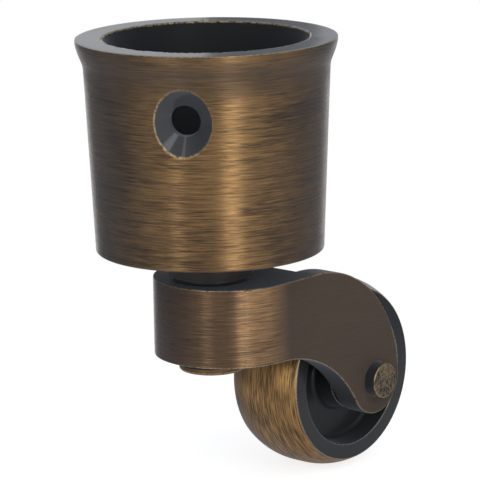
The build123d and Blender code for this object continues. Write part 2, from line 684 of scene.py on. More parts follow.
def carve(bm: bmesh.types.BMesh, tool: bmesh.types.BMesh, keep: bool = False) -> bmesh.types.BMesh:
    """Cuts one mesh with another.

    Args:
        bm: the work, which is used up.
        tool: the cutter, which is used up.
        keep: True to keep what the two share, False to cut the tool's shape away.

    Returns:
        The new mesh.
    """
    work = loose_object(bm, "work")
    cutter = loose_object(tool, "cutter")
    cut = work.modifiers.new("cut", "BOOLEAN")
    cut.operation = "INTERSECT" if keep else "DIFFERENCE"
    cut.solver = "MANIFOLD"
    cut.object = cutter
    bpy.context.view_layer.update()
    result = work.evaluated_get(bpy.context.evaluated_depsgraph_get())
    made = bmesh.new()
    made.from_mesh(result.to_mesh())
    result.to_mesh_clear()
    for used in (work, cutter):
        mesh = used.data
        bpy.data.objects.remove(used)
        bpy.data.meshes.remove(mesh)
    bmesh.ops.remove_doubles(made, verts=list(made.verts), dist=MERGE_WITHIN)
    bmesh.ops.dissolve_degenerate(made, edges=list(made.edges), dist=MERGE_WITHIN)
    return made


def break_edges(bm: bmesh.types.BMesh, width: float, segments: int, sharper: float = 35.0) -> None:
    """Bevels every sharp edge and marks the new faces as worn.

    Args:
        bm: the piece.
        width: how far the bevel reaches from the edge.
        segments: its number of faces across.
        sharper: the least angle, in degrees, of an edge that is bevelled.
    """
    bm.faces.layers.float.new(WORN)
    bmesh.ops.remove_doubles(bm, verts=list(bm.verts), dist=width / 4)
    bmesh.ops.dissolve_degenerate(bm, edges=list(bm.edges), dist=width / 4)
    sharp = [
        e for e in bm.edges
        if len(e.link_faces) == 2 and math.degrees(e.calc_face_angle(0.0)) > sharper
    ]
    made = bmesh.ops.bevel(
        bm,
        geom=sharp,
        offset=width,
        offset_type="OFFSET",
        segments=segments,
        profile=0.5,
        affect="EDGES",
        material=-1,
        clamp_overlap=False,
    )
    worn = bm.faces.layers.float.get(WORN)
    for face in made["faces"]:
        face[worn] = 1.0


def mark_faces(bm: bmesh.types.BMesh, name: str, rule: Callable[[Vector, Vector], float]) -> None:
    """Stores a number on each face.

    Args:
        bm: the piece, in millimetres.
        name: the number's name.
        rule: gives the number from a face's middle and normal.
    """
    layer = bm.faces.layers.float.get(name) or bm.faces.layers.float.new(name)
    for face in bm.faces:
        face[layer] = rule(face.calc_center_median(), face.normal)


@dataclass
class Piece:
    """What every piece of the castor has: a name, a node it stands for, a body, and a slot name
    that is not used.
    """

    name: str
    node: str
    body: Body
    slot: str
    finish: AntiqueBrass
    crease: float = 34.0

    def finished(self, bm: bmesh.types.BMesh) -> bpy.types.Object:
        """Turns a mesh in millimetres into the piece's object and dresses it.

        Args:
            bm: the mesh, which is used up.

        Returns:
            The object, riding on its body.
        """
        bmesh.ops.scale(bm, vec=(MM, MM, MM), verts=list(bm.verts))
        bm.normal_update()
        for face in bm.faces:
            face.smooth = True
        made = loose_object(bm, self.name)
        made.data.set_sharp_from_angle(angle=math.radians(self.crease))
        weigh = made.modifiers.new("weighted normals", "WEIGHTED_NORMAL")
        weigh.keep_sharp = True
        made.data.materials.append(self.finish.material())
        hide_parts(self.node)
        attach(made, self.body.value)
        log.info("%s: %d faces", self.name, len(made.data.polygons))
        return made


@dataclass
class Cup(Piece):
    """The socket cup, turned in one piece with its boss, with two countersunk screw holes."""

    name: str = "socket_cup"
    node: str = "cup"
    body: Body = Body.CUP
    slot: str = "cup_brass"
    finish: AntiqueBrass = field(
        default_factory=lambda: CountersunkBrass(
            "cup_antique_brass",
            anisotropy=0.6,
            contrast=1.6,
            black_roughness=0.62,
            lacquer_roughness=0.08,
            wear_from=0.36,
            wear_to=0.56,
        )
    )
    mouth_radius: float = 16.3
    seat_radius: float = 15.0
    rim_radius: float = 20.8
    rim_land: float = 0.7
    neck_radius: float = 19.6
    neck_level: float = 25.9
    lip_bulge: float = 0.12
    base_radius: float = 18.25
    boss_radius: float = 7.0
    steps: int = 384
    chip_depth: float = 0.26
    chip_reach: float = 0.3
    chip_fall: float = 0.6
    chipped_ring: float = 0.6
    lip_steps: int = 6
    lip_brush: float = 0.85
    boss_brush: float = 0.12
    land_gloss: float = 0.56
    wall_gloss: float = 0.06

    def lip(self) -> list[Corner]:
        """The lip's flare, swelling a little between the rim and the neck.

        Returns:
            Its corners from the rim down.
        """
        low = Vector((self.neck_radius, self.neck_level))
        high = Vector((self.rim_radius, LEVELS.rim - self.rim_land))
        points = []
        for index in range(self.lip_steps - 1, 0, -1):
            share = index / self.lip_steps
            point = low.lerp(high, share)
            swell = 4 * share * (1 - share) * self.lip_bulge
            points.append(Corner(point.x + swell, point.y))
        return points

    def section(self) -> list[Corner]:
        """The cup's section, from the pin hole out over the floor and back under the base.

        Returns:
            Its corners. Those beside the rim's edges keep the chips from tilting long faces.
        """
        ring = self.chipped_ring
        return [
            Corner(SHANK.radius, -SHANK.peen_depth),
            Corner(SHANK.peen_radius, 0.0),
            Corner(self.seat_radius, 0.0, 0.8, 4),
            Corner(self.mouth_radius - ring * self.inner_slope, LEVELS.rim - ring),
            Corner(self.mouth_radius, LEVELS.rim, 0.22, 3),
            Corner(self.mouth_radius + ring, LEVELS.rim),
            Corner(self.rim_radius - ring, LEVELS.rim),
            Corner(self.rim_radius, LEVELS.rim, 0.12, 2),
            Corner(self.rim_radius, LEVELS.rim - self.rim_land, 0.15, 2),
            *self.lip(),
            Corner(self.neck_radius, self.neck_level, 0.9, 5),
            Corner(self.base_radius, LEVELS.cup_underside, 0.3, 4),
            Corner(self.boss_radius, LEVELS.cup_underside, 0.4, 3),
            Corner(self.boss_radius, LEVELS.boss_face, 0.3, 3),
            Corner(SHANK.radius, LEVELS.boss_face),
        ]

    @property
    def inner_slope(self) -> float:
        """How much the socket's radius grows for each millimetre upwards."""
        return (self.mouth_radius - self.seat_radius) / LEVELS.rim

    @property
    def wall_slope(self) -> float:
        """How much the wall's radius grows for each millimetre upwards."""
        return (self.neck_radius - self.base_radius) / (self.neck_level - LEVELS.cup_underside)

    def wall_radius(self, level: float) -> float:
        """Outer radius of the tapered wall at a height."""
        return self.base_radius + self.wall_slope * (level - LEVELS.cup_underside)

    def countersink(self, bearing: float) -> bmesh.types.BMesh:
        """The cutter for one screw hole, with its countersink carried out past the wall.

        Args:
            bearing: where the hole is round the cup, in degrees from +X.

        Returns:
            The cutter's mesh.
        """
        proud, deep = 2.5, 8.0
        sink_depth = (SCREWS.sink_radius - SCREWS.radius) / SCREWS.flare
        tool = turned(
            [
                Corner(0.0, -deep),
                Corner(SCREWS.radius, -deep),
                Corner(SCREWS.radius, -sink_depth),
                Corner(SCREWS.sink_radius + proud * SCREWS.flare, proud),
                Corner(0.0, proud),
            ],
            128,
            solid=True,
        )
        way = math.radians(bearing)
        sideways = Vector((math.cos(way), math.sin(way), 0.0))
        mouth = sideways * self.wall_radius(SCREWS.level) + Vector((0, 0, SCREWS.level))
        outward = sideways - Vector((0, 0, self.wall_slope))
        turn = outward.to_track_quat("Z", "X").to_matrix().to_4x4()
        bmesh.ops.transform(tool, matrix=Matrix.Translation(mouth) @ turn, verts=list(tool.verts))
        return tool

    def chip_mouth(self, bm: bmesh.types.BMesh) -> None:
        """Breaks up the sharp inner edge of the rim, where the black has flaked.

        Args:
            bm: the cup.
        """
        for vert in bm.verts:
            off_edge = abs(math.hypot(vert.co.x, vert.co.y) - self.mouth_radius)
            if off_edge < self.chip_reach and vert.co.z > LEVELS.rim - self.chip_reach:
                bite = noise.noise(vert.co * 1.3) + 0.6 * noise.noise(vert.co * 4.1)
                bite = max(bite, 0.0) * self.chip_depth
                outward = Vector((vert.co.x, vert.co.y, 0.0)).normalized()
                vert.co += outward * bite - Vector((0, 0, bite * self.chip_fall))

    def is_brushed(self, middle: Vector, normal: Vector) -> float:
        """1 on the wall, less on the lip, little on the boss's side, and 0 elsewhere.

        Args:
            middle: the middle of a face, in millimetres.
            normal: the way it faces.

        Returns:
            The number for that face.
        """
        radius = math.hypot(middle.x, middle.y)
        outward = (normal.x * middle.x + normal.y * middle.y) / max(radius, 1e-6)
        on_wall = radius > self.wall_radius(min(middle.z, self.neck_level)) - 0.35
        if outward > 0.5 and on_wall and middle.z > LEVELS.cup_underside + 0.1:
            return 1.0 if middle.z < self.neck_level + 0.5 else self.lip_brush
        if outward > 0.5 and middle.z < LEVELS.cup_underside and radius < self.boss_radius + 0.5:
            return self.boss_brush
        return 0.0

    def is_glossy(self, middle: Vector, normal: Vector) -> float:
        """1 in the screw holes, part on the rim's land, little on the wall, and 0 elsewhere.

        Args:
            middle: the middle of a face, in millimetres.
            normal: the way it faces.

        Returns:
            The number for that face.
        """
        radius = math.hypot(middle.x, middle.y)
        if normal.z > 0.9 and radius > self.mouth_radius:
            return self.land_gloss
        in_wall = self.seat_radius + 0.5 < radius < self.wall_radius(middle.z) - 0.02
        if in_wall and 5.0 < middle.z < self.neck_level - 1:
            return 1.0
        return self.wall_gloss * float(radius > self.base_radius)

    def is_worn(self, middle: Vector, normal: Vector) -> float:
        """1 on the rim's inner edge, half on its outer edge, and 0 elsewhere.

        Args:
            middle: the middle of a face, in millimetres.
            normal: the way it faces.

        Returns:
            The number for that face.
        """
        radius = math.hypot(middle.x, middle.y)
        inner = radius < self.mouth_radius + 0.45 and middle.z > LEVELS.rim - 0.4
        outer = radius > self.rim_radius - 0.1 and middle.z > LEVELS.rim - 0.12
        if inner and normal.z > 0.1 and radius < self.mouth_radius + 0.25:
            return 1.0
        return 0.5 if outer and 0.2 < normal.z < 0.95 else 0.0

    def build(self) -> bpy.types.Object:
        """Makes the cup.

        Returns:
            Its object.
        """
        bm = turned(self.section(), self.steps, solid=False)
        for bearing in (SCREWS.bearing, SCREWS.bearing - 180):
            bm = carve(bm, self.countersink(bearing))
        mark_faces(bm, BRUSHED, self.is_brushed)
        mark_faces(bm, WORN, self.is_worn)
        mark_faces(bm, GLOSSY, self.is_glossy)
        self.chip_mouth(bm)
        return self.finished(bm)


@dataclass
class SwivelPin(Piece):
    """The swivel pin: peened into the cup's floor, with a flat head under the horn."""

    name: str = "swivel_pin_shown"
    node: str = "swivel_pin"
    body: Body = Body.CUP
    slot: str = "pin_brass"
    finish: AntiqueBrass = field(
        default_factory=lambda: AntiqueBrass("swivel_pin_brass", lay=Lay.LEVEL)
    )
    head_radius: float = 5.4
    painted_shadow_band: float = 0.62
    head_brush: float = 0.9
    edge_wear: float = 0.6
    steps: int = 160

    def is_brushed(self, middle: Vector, normal: Vector) -> float:
        """Nearly 1 on the head, below a black band under its top that also paints the shadow under
        the horn.
        """
        # the band under the head's top is left black, as unbrushed metal and as painted shadow
        # from the horn above
        return self.head_brush * float(middle.z < LEVELS.pin_head_top - self.painted_shadow_band)

    def is_worn(self, middle: Vector, normal: Vector) -> float:
        """Part worn on the rounded edges of the head."""
        rounded = -0.9 < normal.z < -0.1
        return self.edge_wear * float(middle.z < LEVELS.pin_head_top and rounded)

    def build(self) -> bpy.types.Object:
        """Makes the pin.

        Returns:
            Its object.
        """
        section = [
            Corner(0.0, 0.0),
            Corner(SHANK.peen_radius, 0.0),
            Corner(SHANK.radius, -SHANK.peen_depth),
            Corner(SHANK.radius, LEVELS.pin_head_top),
            Corner(self.head_radius, LEVELS.pin_head_top, 0.15, 2),
            Corner(self.head_radius, LEVELS.pin_head_top - self.painted_shadow_band),
            Corner(self.head_radius, LEVELS.pin_head_bottom, 0.5, 5),
            Corner(0.0, LEVELS.pin_head_bottom),
        ]
        bm = turned(section, self.steps, solid=True)
        mark_faces(bm, BRUSHED, self.is_brushed)
        mark_faces(bm, WORN, self.is_worn)
        return self.finished(bm)


@dataclass
class Washer(Piece):
    """A flat washer round the swivel pin."""

    hole_radius: float = SHANK.radius
    radius: float = 6.2
    top: float = LEVELS.boss_face
    thickness: float = 0.85
    steps: int = 160

    def build(self) -> bpy.types.Object:
        """Makes the washer.

        Returns:
            Its object.
        """
        edge = min(0.12, self.thickness / 4)
        section = [
            Corner(self.hole_radius, self.top),
            Corner(self.radius, self.top, edge, 2),
            Corner(self.radius, self.top - self.thickness, edge, 2),
            Corner(self.hole_radius, self.top - self.thickness),
        ]
        return self.finished(turned(section, self.steps, solid=False))


@dataclass
class Horn(Piece):
    """The horn: a drum on the swivel pin that runs out into two cheeks over the wheel."""

    name: str = "horn_casting"
    node: str = "horn"
    body: Body = Body.HORN
    slot: str = "horn_brass"
    finish: AntiqueBrass = field(
        default_factory=lambda: HornBrass(
            "horn_antique_brass",
            anisotropy=0.6,
            tarnished=(0.038, 0.026, 0.020),
            brass=(0.62, 0.350, 0.150),
            roughness=0.31,
            bare=(0.40, 0.31, 0.20),
            streak_width=0.17,
            fine_width=0.09,
            black_roughness=0.68,
            sheen=0.25,
            shine=0.1,
            contrast=1.05,
        )
    )
    half_width: float = 11.9
    drum_setback: float = 3.8
    crest_x: float = 12.5
    crest_radius: float = 20.45
    tip_radius: float = 5.85
    slot_front: float = 12.0
    slot_half_width: float = 7.7
    slot_radius: float = 17.0
    bore_radius: float = 3.55
    spare: float = 3.0
    edge_break: float = 0.18
    nick_radius: float = 0.42
    nick_count: int = 10
    nicks_from: float = 224.0
    nick_pitch: float = 5.2
    crest_brush: float = 0.8
    top_gloss: float = 0.02

    def throat(self) -> tuple[Vector, float]:
        """Works out the throat arc, which leaves the drum level and runs into the tip.

        Returns:
            The arc's centre, and the tip's angle where they meet.
        """
        run = AXLE_TRAIL - self.drum_setback
        fall = LEVELS.axle - LEVELS.horn_bottom
        radius = (run**2 + fall**2 - self.tip_radius**2) / (2 * (self.tip_radius - fall))
        centre = Vector((self.drum_setback, 0.0, LEVELS.horn_bottom - radius))
        away = centre - AXLE_CENTRE
        return centre, math.atan2(-away.z, -away.x)

    def side(self) -> bmesh.types.BMesh:
        """The horn's outline from the side, left larger than the drum in front and across.

        Returns:
            The mesh.
        """
        bm = bmesh.new()
        depth = self.half_width + self.spare
        throat_centre, meeting = self.throat()
        back = self.drum_setback - self.half_width - self.spare
        top_back = bm.verts.new((back, -depth, LEVELS.horn_top))
        crest_start = bm.verts.new((self.crest_x, -depth, LEVELS.horn_top))
        bm.edges.new((top_back, crest_start))
        crest_centre = Vector((self.crest_x, -depth, LEVELS.axle))
        crest_end = swept_edges(bm, crest_start, crest_centre, math.pi / 2, 80)
        tip_centre = Vector((AXLE_TRAIL, -depth, LEVELS.axle))
        tip_end = swept_edges(bm, crest_end, tip_centre, math.pi - meeting, 36)
        centre = Vector((throat_centre.x, -depth, throat_centre.z))
        throat_end = swept_edges(bm, tip_end, centre, -(math.pi / 2 - meeting), 36)
        bottom_back = bm.verts.new((back, -depth, LEVELS.horn_bottom))
        bm.edges.new((throat_end, bottom_back))
        bm.edges.new((bottom_back, top_back))
        prism(bm, list(bm.edges), Vector((0, 2 * depth, 0)))
        return bm

    def plan(self) -> bmesh.types.BMesh:
        """The horn's outline from above: the round drum, running straight back.

        Returns:
            The mesh, which reaches past the horn behind, above and below.
        """
        bm = bmesh.new()
        low, far, height = LEVELS.axle - 20.0, AXLE_TRAIL + 20.0, 60.0
        centre = Vector((self.drum_setback, 0.0, low))
        start = bm.verts.new((self.drum_setback, self.half_width, low))
        spun = bmesh.ops.spin(
            bm,
            geom=[start],
            cent=centre,
            axis=(0, 0, 1),
            dvec=(0, 0, 0),
            angle=math.pi,
            steps=96,
            use_merge=False,
            use_duplicate=False,
        )
        end = [g for g in spun["geom_last"] if isinstance(g, bmesh.types.BMVert)][0]
        far_right = bm.verts.new((far, -self.half_width, low))
        far_left = bm.verts.new((far, self.half_width, low))
        for pair in ((end, far_right), (far_right, far_left), (far_left, start)):
            bm.edges.new(pair)
        prism(bm, list(bm.edges), Vector((0, 0, height)))
        return bm

    def slot_cutter(self) -> bmesh.types.BMesh:
        """The slot: straight down in front, then hollowed to clear the wheel.

        Returns:
            The cutter's mesh.
        """
        bm = bmesh.new()
        across = -self.slot_half_width
        ahead = AXLE_TRAIL - self.slot_front
        rise = math.sqrt(self.slot_radius**2 - ahead**2)
        lean = math.atan2(rise, ahead)
        high, low, far = LEVELS.horn_top + 10.0, LEVELS.axle - 25.0, AXLE_TRAIL + 25.0
        wall_top = bm.verts.new((self.slot_front, across, high))
        wall_foot = bm.verts.new((self.slot_front, across, LEVELS.axle + rise))
        bm.edges.new((wall_top, wall_foot))
        centre = Vector((AXLE_TRAIL, across, LEVELS.axle))
        hollow_end = swept_edges(bm, wall_foot, centre, -2 * lean, 48)
        corners = [hollow_end]
        for x, z in ((self.slot_front, low), (far, low), (far, high)):
            corners.append(bm.verts.new((x, across, z)))
        corners.append(wall_top)
        for pair in zip(corners, corners[1:]):
            bm.edges.new(pair)
        prism(bm, list(bm.edges), Vector((0, 2 * self.slot_half_width, 0)))
        return bm

    def crest_nicks(self) -> list[tuple[Vector, float]]:
        """The nicks in the near crest edge.

        Returns:
            Their centres and radii.
        """
        spots = []
        for angle, size in ((62.0, 1.0), (58.5, 0.7), (55.5, 0.9), (75.0, 0.6)):
            turn = math.radians(angle)
            reach = self.crest_radius + 0.28 * self.nick_radius
            x = self.crest_x + reach * math.cos(turn)
            z = LEVELS.axle + reach * math.sin(turn)
            spots.append((Vector((x, 0.1 - self.half_width, z)), size * self.nick_radius))
        return spots

    def drum_nicks(self) -> list[tuple[Vector, float]]:
        """The row of nicks in the drum's front top edge.

        Returns:
            Their centres and radii.
        """
        spots = []
        for index in range(self.nick_count):
            stray = noise.noise(Vector((index * 1.7, 0, 0)))
            turn = math.radians(self.nicks_from + self.nick_pitch * index + 4 * stray)
            reach = self.half_width + 0.2 * self.nick_radius
            x = self.drum_setback + reach * math.cos(turn)
            at = Vector((x, reach * math.sin(turn), LEVELS.horn_top + 0.04))
            spots.append((at, (0.66 + 0.3 * stray) * self.nick_radius))
        return spots

    def dent(self, bm: bmesh.types.BMesh) -> None:
        """Presses the nicks into the broken edges, and leaves bright metal in the drum's.

        Args:
            bm: the horn, with its broken edges marked as worn.
        """
        worn = bm.faces.layers.float.get(WORN)
        in_drum = self.drum_nicks()
        for at, radius in [*self.crest_nicks(), *in_drum]:
            for vert in bm.verts:
                away = vert.co - at
                if 0 < away.length < radius:
                    vert.co = at + away.normalized() * radius
        for face in bm.faces:
            middle = face.calc_center_median()
            if any((middle - at).length < 1.1 * radius for at, radius in in_drum):
                face[worn] = 1.0

    def is_brushed(self, middle: Vector, normal: Vector) -> float:
        """1 on the cheeks and the drum's side, less on the crest, and 0 elsewhere.

        Args:
            middle: the middle of a face, in millimetres.
            normal: the way it faces.

        Returns:
            The number for that face.
        """
        outside = abs(middle.y) > self.slot_half_width + 0.2
        on_drum = math.hypot(middle.x - self.drum_setback, middle.y) > self.half_width - 0.35
        if abs(normal.z) < 0.4 and on_drum and middle.x < self.drum_setback + 0.1:
            return 1.0
        if abs(normal.y) > 0.9 and abs(middle.y) > self.half_width - 0.35:
            return 1.0
        if outside and middle.x > self.crest_x and normal.z > -0.2:
            return self.crest_brush
        return 0.0

    def is_glossy(self, middle: Vector, normal: Vector) -> float:
        """A trace on the flat top, and 0 elsewhere."""
        on_top = normal.z > 0.98 and middle.x < self.crest_x + 1
        return self.top_gloss if on_top else 0.0

    def build(self) -> bpy.types.Object:
        """Makes the horn.

        Returns:
            Its object.
        """
        bm = carve(self.side(), self.plan(), keep=True)
        bm = carve(bm, self.slot_cutter())
        top, bottom = Vector((0, 0, LEVELS.horn_top + 5)), Vector((0, 0, LEVELS.horn_bottom - 5))
        bm = carve(bm, drill(self.bore_radius, bottom, top))
        across = Vector((0, 20, 0))
        bm = carve(bm, drill(AXLE_RADIUS, AXLE_CENTRE - across, AXLE_CENTRE + across))
        break_edges(bm, self.edge_break, 2)
        self.dent(bm)
        mark_faces(bm, BRUSHED, self.is_brushed)
        mark_faces(bm, GLOSSY, self.is_glossy)
        return self.finished(bm)


@dataclass
class Wheel(Piece):
    """The solid wheel, turned with a crowned tread and a recess round the hub on each face."""

    name: str = "castor_wheel"
    node: str = "wheel"
    body: Body = Body.WHEEL
    slot: str = "wheel_brass"
    finish: AntiqueBrass = field(
        default_factory=lambda: AntiqueBrass(
            "wheel_antique_brass",
            lay=Lay.ROUND_AXLE,
            centre=tuple(AXLE_CENTRE),
            tarnished=(0.070, 0.042, 0.020),
            brass=(0.68, 0.380, 0.134),
            bare=(0.42, 0.40, 0.37),
            streak_length=5.0,
            streak_width=0.17,
            fine_width=0.09,
            contrast=2.3,
            sheen=0.16,
        )
    )
    radius: float = 16.0
    half_width: float = 6.85
    crown: float = 1.6
    tread_flat: float = 2.0
    tread_steps: int = 16
    recess_mouth: float = 11.9
    recess_root: float = 11.5
    web_half: float = 3.25
    hub_face: float = 5.6
    hub_root: float = 6.0
    bore_radius: float = 2.94
    far_painted_shade: float = 0.5
    hub_wear: float = 0.6
    shoulder_wear: float = 0.5
    recess_gloss: float = 0.15
    ring_gloss: float = 0.45
    steps: int = 288

    @property
    def shoulder(self) -> float:
        """The radius that the tread comes down to at either face."""
        return self.radius - self.crown

    def tread(self) -> list[Corner]:
        """The tread: a narrow flat in the middle that curves down to each shoulder.

        Returns:
            Its corners from one shoulder to the other.
        """
        reach = self.half_width - self.tread_flat / 2
        curve = (reach**2 + self.crown**2) / (2 * self.crown)
        turn = math.asin(reach / curve)
        half = []
        for index in range(self.tread_steps - 1, -1, -1):
            slope = turn * index / self.tread_steps
            across = self.tread_flat / 2 + curve * math.sin(slope)
            half.append(Corner(self.radius - curve * (1 - math.cos(slope)), -across))
        return [*half, *(Corner(c.radius, -c.height) for c in reversed(half))]

    def section(self) -> list[Corner]:
        """The wheel's section, from one end of the bore out over the tread to the other.

        Returns:
            Its corners.
        """
        near = [
            Corner(self.bore_radius, -self.half_width, 0.15, 2),
            Corner(self.hub_face, -self.half_width, 0.14, 3),
            Corner(self.hub_root, -self.web_half, 0.8, 4),
            Corner(self.recess_root, -self.web_half, 0.8, 4),
            Corner(self.recess_mouth, -self.half_width, 0.14, 3),
            Corner(self.shoulder, -self.half_width, 0.12, 2),
        ]
        far = [
            Corner(c.radius, -c.height, c.rounding, c.segments) for c in reversed(near)
        ]
        return [*near, *self.tread(), *far]

    def is_brushed(self, middle: Vector, normal: Vector) -> float:
        """1 on the tread, less towards its far shoulder as painted shade, and 0 elsewhere.

        Args:
            middle: the middle of a face, in millimetres.
            normal: the way it faces.

        Returns:
            The number for that face.
        """
        away = middle - AXLE_CENTRE
        reach = math.hypot(away.x, away.z)
        if reach > self.shoulder - 0.05 and abs(normal.y) < 0.85:
            towards_far = away.y / self.half_width
            # painted shade: the tread darkens towards its far shoulder
            return 1.0 - self.far_painted_shade * max(0.0, towards_far - 0.15)
        return 0.0

    def is_worn(self, middle: Vector, normal: Vector) -> float:
        """Part worn on the shoulders, the recesses' mouths and the hub's edges, 0 elsewhere.

        Args:
            middle: the middle of a face, in millimetres.
            normal: the way it faces.

        Returns:
            The number for that face.
        """
        away = middle - AXLE_CENTRE
        reach = math.hypot(away.x, away.z)
        at_face = abs(away.y) > self.half_width - 0.2
        slanted = 0.1 < abs(normal.y) < 0.97
        near_ring = min(abs(reach - ring) for ring in (self.recess_mouth, self.hub_face)) < 0.25
        if at_face and slanted and near_ring:
            return self.hub_wear
        return self.shoulder_wear if at_face and slanted and reach > self.shoulder - 0.4 else 0.0

    def is_glossy(self, middle: Vector, normal: Vector) -> float:
        """Some in the two recesses, more on the ring round each, none on the tread.

        Args:
            middle: the middle of a face, in millimetres.
            normal: the way it faces.

        Returns:
            The number for that face.
        """
        if abs(middle.y) < self.half_width - 0.2:
            in_recess = abs(normal.y) > 0.02 and not self.is_brushed(middle, normal)
            return self.recess_gloss * float(in_recess)
        return self.ring_gloss * float(abs(normal.y) > 0.9)

    def build(self) -> bpy.types.Object:
        """Makes the wheel.

        Returns:
            Its object.
        """
        bm = laid_on_axle(turned(self.section(), self.steps, solid=False))
        mark_faces(bm, BRUSHED, self.is_brushed)
        mark_faces(bm, WORN, self.is_worn)
        mark_faces(bm, GLOSSY, self.is_glossy)
        return self.finished(bm)


@dataclass
class AxlePin(Piece):
    """The axle pin: its grainy ends stand out of the cheeks."""

    name: str = "axle_pin_shown"
    node: str = "axle_pin"
    body: Body = Body.HORN
    slot: str = "pin_brass"
    finish: AntiqueBrass = field(
        default_factory=lambda: AntiqueBrass(
            "axle_pin_brass",
            lay=Lay.ROUND_AXLE,
            centre=tuple(AXLE_CENTRE),
            tarnished=(0.020, 0.014, 0.007),
            brass=(0.34, 0.235, 0.115),
            streak_length=0.5,
            streak_width=0.5,
            fine_length=0.28,
            fine_width=0.28,
            contrast=2.6,
        )
    )
    half_length: float = 13.85
    edge_break: float = 0.15
    grain_depth: float = 0.05
    painted_shade_to: float = 12.9
    edge_from: float = 13.6
    rings: int = 20
    steps: int = 144

    def is_brushed(self, middle: Vector, normal: Vector) -> float:
        """1 on the ends, growing towards them on the sides, and 0 nearer the cheeks, where the
        black is painted shade.
        """
        # the sides next to the cheeks stay black as painted shade
        return 1.0 if abs(normal.z) > 0.5 else max(0.0, abs(middle.z) - self.painted_shade_to)

    def is_worn(self, middle: Vector, normal: Vector) -> float:
        """1 on the rounded edges of the ends."""
        return float(0.1 < abs(normal.z) < 0.98 and abs(middle.z) > self.edge_from)

    def build(self) -> bpy.types.Object:
        """Makes the pin, along Z until it is marked.

        Returns:
            Its object.
        """
        end = [
            Corner(AXLE_RADIUS * index / self.rings, -self.half_length)
            for index in range(self.rings)
        ]
        end.append(Corner(AXLE_RADIUS, -self.half_length, self.edge_break, 3))
        other = [
            Corner(c.radius, self.half_length, c.rounding, c.segments) for c in reversed(end)
        ]
        bm = turned([*end, *other], self.steps, solid=True)
        flat = AXLE_RADIUS - self.edge_break - 0.02
        for vert in bm.verts:
            at_end = abs(vert.co.z) > self.half_length - 0.01
            if at_end and math.hypot(vert.co.x, vert.co.y) < flat:
                rough = noise.noise(vert.co * 5.3) + 0.5 * noise.noise(vert.co * 11.0)
                inward = -1 if vert.co.z > 0 else 1
                vert.co.z += inward * self.grain_depth * (0.5 + 0.5 * rough)
        mark_faces(bm, BRUSHED, self.is_brushed)
        mark_faces(bm, WORN, self.is_worn)
        return self.finished(laid_on_axle(bm))


@dataclass(frozen=True)
class Viewpoint:
    """The camera that the photograph was taken from, in millimetres and degrees."""

    azimuth: float = -48.353
    elevation: float = 12.425
    roll: float = -1.0
    distance: float = 502.2
    aim: tuple[float, float, float] = (3.17, -3.57, -3.07)
    lens: float = 235.53
    sensor: float = 36.0

    def towards(self) -> Vector:
        """From the castor to the camera."""
        turn, lift = math.radians(self.azimuth), math.radians(self.elevation)
        return Vector(
            (math.sin(turn) * math.cos(lift), -math.cos(turn) * math.cos(lift), math.sin(lift))
        )

    def place(self) -> None:
        """Makes the camera."""
        back = self.towards()
        turn, roll = math.radians(self.azimuth), math.radians(self.roll)
        level = Vector((math.cos(turn), math.sin(turn), 0.0))
        upright = back.cross(level)
        right = level * math.cos(roll) + upright * math.sin(roll)
        up = upright * math.cos(roll) - level * math.sin(roll)
        data = bpy.data.cameras.new("camera")
        data.lens = self.lens
        data.sensor_width = self.sensor
        data.clip_start = 0.02
        data.clip_end = 20.0
        camera = bpy.data.objects.new("camera", data)
        bpy.context.scene.collection.objects.link(camera)
        axes = Matrix((right, up, back)).transposed().to_4x4()
        at = (Vector(self.aim) + back * self.distance) * MM
        camera.matrix_world = Matrix.Translation(at) @ axes
        bpy.context.scene.camera = camera


@dataclass(frozen=True)
class Strip:
    """A tall strip of light, in degrees: its bearing from the camera's, its width, its blurs."""

    bearing: float
    width: float
    brightness: float
    blur: float = 7.0
    top: float = 68.0
    top_blur: float = 16.0


